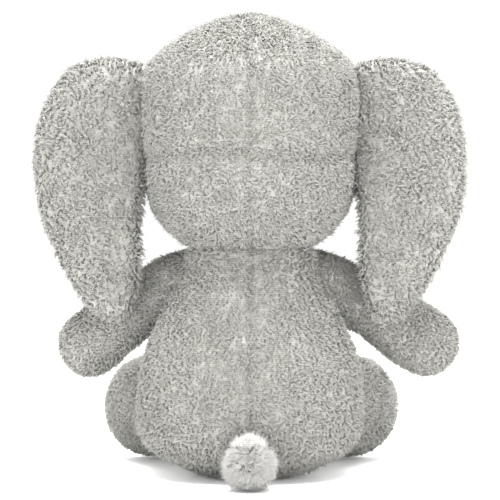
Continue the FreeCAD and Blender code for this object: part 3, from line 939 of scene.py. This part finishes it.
def build_tail():
    low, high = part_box("tail_pompom")
    middle = (low + high) / 2
    radius = (high.x - low.x) / 2 / MM
    core = radius - 9.5
    y = middle.y / MM - MIDDLE_Y - 3.5
    rows = []
    for angle in np.linspace(math.pi - 0.05, 0.05, 16):
        up = math.cos(angle)
        wide = core * math.sin(angle) * (1.0 if up < 0 else 1 - 0.25 * up) + 0.5
        rows.append((0, y - 2.5 * max(up, 0), middle.z / MM - 2.5 + core * up * 1.12, wide,
                     1.45 * wide))
    obj = outward(lathe("tail_pompom_skin", rows, rings=24, around=32, roundness=2))
    pile, _, _ = sizes()

    def comb(p):
        up = (p[:, 2] - middle.z / MM) / core
        return np.stack([p[:, 0] * 0.04, np.full(len(p), 0.1), np.where(up > 0.4, 0.5, -0.4)], 1)

    cover(obj, comb, even(30), seed=71, length=pile.tail_length / pile.length,
          density=3.2, width=0.62, spread=0.9, per_tuft=6, curl=0.5, swirl_angle=40.0,
          materials=("white backing", "white pom-pom yarn"))
    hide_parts("tail_pompom", "tail_tie")
    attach(obj, "tail")


def dress_cad_nodes():
    """Gives every carried-over CAD piece its finish."""
    finishes = {"eye_plastic": "moulded ABS"}  # the rest is hidden wadding and cloth
    for name, obj in frame["nodes"].items():
        if obj.hide_render:
            continue
        slot = next((s["material_slot"] for s in frame["record"]["subparts"]
                     if s["node"] == name), "")
        finish = material(finishes.get(slot, "polyester wadding"))
        if not obj.material_slots:
            obj.data.materials.append(finish)
        for holder in obj.material_slots:
            holder.material = finish


def build_stage():
    """White paper to stand on, soft lights on all sides, and a camera behind the toy."""
    _, _, stage = sizes()
    made, tree = plain_material("matt white paper")
    place = add_node(tree, "ShaderNodeTexCoord")
    fibres = add_node(tree, "ShaderNodeTexNoise", {}, {"Scale": grain(2.5)},
                      {"Vector": place.outputs["Object"]})
    shade = two_colours(tree, fibres.outputs["Fac"], darker(stage.floor, 0.985), stage.floor)
    shader = add_node(tree, "ShaderNodeBsdfPrincipled", {},
                      {"Roughness": 1.0, "Specular IOR Level": 0.0}, {"Base Color": shade})
    finish_material(tree, shader)
    half = 4.0
    floor = new_object("floor", [(-half, -half, 0), (half, -half, 0), (half, half, 0),
                                 (-half, half, 0)], [(0, 1, 2, 3)])
    floor.data.materials.append(made)

    world = bpy.data.worlds.new("studio")
    world.use_nodes = True
    sky = world.node_tree.nodes["Background"]
    sky.inputs["Color"].default_value = (1, 1, 1, 1)
    sky.inputs["Strength"].default_value = 1.03 * stage.light
    bpy.context.scene.world = world

    def lamp(name, place, size, power, aim=(0, 0, 0.15)):
        data = bpy.data.lights.new(name, "AREA")
        data.shape, data.size, data.energy = "SQUARE", size, power * stage.light
        obj = bpy.data.objects.new(name, data)
        obj.location = place
        obj.rotation_euler = (Vector(aim) - Vector(place)).to_track_quat("-Z", "Y").to_euler()
        bpy.context.scene.collection.objects.link(obj)

    lamp("overhead softbox", (0.0, 0.35, 1.8), 1.4, 168)
    lamp("low softbox left", (1.0, 1.4, 0.35), 1.0, 24)
    lamp("low softbox right", (-1.0, 1.4, 0.35), 1.0, 24)
    lamp("side softbox left", (1.5, 0.5, 0.22), 0.9, 12, (0, 0, 0.08))
    lamp("side softbox right", (-1.5, 0.5, 0.22), 0.9, 12, (0, 0, 0.08))
    lamp("face softbox left", (1.1, -1.3, 0.8), 1.0, 22)
    lamp("face softbox right", (-1.1, -1.3, 0.8), 1.0, 22)

    data = bpy.data.cameras.new("camera")
    data.lens = data.sensor_width * stage.distance / stage.frame_width
    data.clip_start, data.clip_end = 0.05, 20
    camera = bpy.data.objects.new("camera", data)
    camera.location = at(0, 0, 0) + Vector((0, stage.distance, stage.height))
    camera.rotation_euler = (math.radians(90), 0, math.radians(180))
    bpy.context.scene.collection.objects.link(camera)
    bpy.context.scene.camera = camera
    bpy.context.scene.view_settings.view_transform = "Standard"


# ---------------------------------------------------------------- operators

class PLUSH_OT_torso(bpy.types.Operator):
    """Makes the stuffed torso with its pile"""
    bl_idname = "plush.torso"
    bl_label = "Torso"

    def execute(self, context):
        build_torso()
        return {"FINISHED"}


class PLUSH_OT_head(bpy.types.Operator):
    """Makes the stuffed head with its pile"""
    bl_idname = "plush.head"
    bl_label = "Head"

    def execute(self, context):
        build_head()
        return {"FINISHED"}


class PLUSH_OT_ears(bpy.types.Operator):
    """Makes both drooping ears"""
    bl_idname = "plush.ears"
    bl_label = "Ears"

    def execute(self, context):
        build_ear("left", 1)
        build_ear("right", -1)
        return {"FINISHED"}


class PLUSH_OT_arms(bpy.types.Operator):
    """Makes both arms"""
    bl_idname = "plush.arms"
    bl_label = "Arms"

    def execute(self, context):
        build_arm("left", 1, LEFT_ARM)
        build_arm("right", -1, RIGHT_ARM)
        return {"FINISHED"}


class PLUSH_OT_legs(bpy.types.Operator):
    """Makes both legs and feet"""
    bl_idname = "plush.legs"
    bl_label = "Legs"

    def execute(self, context):
        build_leg("left", 1)
        build_leg("right", -1)
        return {"FINISHED"}


class PLUSH_OT_trunk(bpy.types.Operator):
    """Makes the trunk"""
    bl_idname = "plush.trunk"
    bl_label = "Trunk"

    def execute(self, context):
        build_trunk()
        return {"FINISHED"}


class PLUSH_OT_tail(bpy.types.Operator):
    """Makes the pom-pom tail"""
    bl_idname = "plush.tail"
    bl_label = "Tail"

    def execute(self, context):
        build_tail()
        return {"FINISHED"}


class PLUSH_OT_eyes(bpy.types.Operator):
    """Gives the eyes and every carried-over piece their finish"""
    bl_idname = "plush.eyes"
    bl_label = "Eyes and inner pieces"

    def execute(self, context):
        dress_cad_nodes()
        return {"FINISHED"}


class PLUSH_OT_stage(bpy.types.Operator):
    """Makes the floor, the lights and the camera"""
    bl_idname = "plush.stage"
    bl_label = "Stage"

    def execute(self, context):
        build_stage()
        return {"FINISHED"}


OPERATORS = (PLUSH_OT_stage, PLUSH_OT_torso, PLUSH_OT_head, PLUSH_OT_ears, PLUSH_OT_arms,
             PLUSH_OT_legs, PLUSH_OT_trunk, PLUSH_OT_tail, PLUSH_OT_eyes)


class PLUSH_PT_panel(bpy.types.Panel):
    """Lists the sizes and the pieces of the plush elephant"""
    bl_idname = "PLUSH_PT_panel"
    bl_label = "Plush elephant"
    bl_space_type = "VIEW_3D"
    bl_region_type = "UI"
    bl_category = "Plush"

    def draw(self, context):
        for group in (context.scene.plush_pile, context.scene.plush_body,
                      context.scene.plush_stage):
            column = self.layout.column(align=True)
            for name in group.__annotations__:
                column.prop(group, name)
        for kind in OPERATORS:
            self.layout.operator(kind.bl_idname)


CLASSES = (PileSettings, BodySettings, StageSettings, *OPERATORS, PLUSH_PT_panel)


def register():
    for kind in CLASSES:
        bpy.utils.register_class(kind)
    bpy.types.Scene.plush_pile = PointerProperty(type=PileSettings)
    bpy.types.Scene.plush_body = PointerProperty(type=BodySettings)
    bpy.types.Scene.plush_stage = PointerProperty(type=StageSettings)


def unregister():
    del bpy.types.Scene.plush_stage
    del bpy.types.Scene.plush_body
    del bpy.types.Scene.plush_pile
    for kind in reversed(CLASSES):
        bpy.utils.unregister_class(kind)


def main():
    register()
    for kind in OPERATORS:
        group, action = kind.bl_idname.split(".")
        getattr(getattr(bpy.ops, group), action)()


if __name__ == "__main__":
    main()
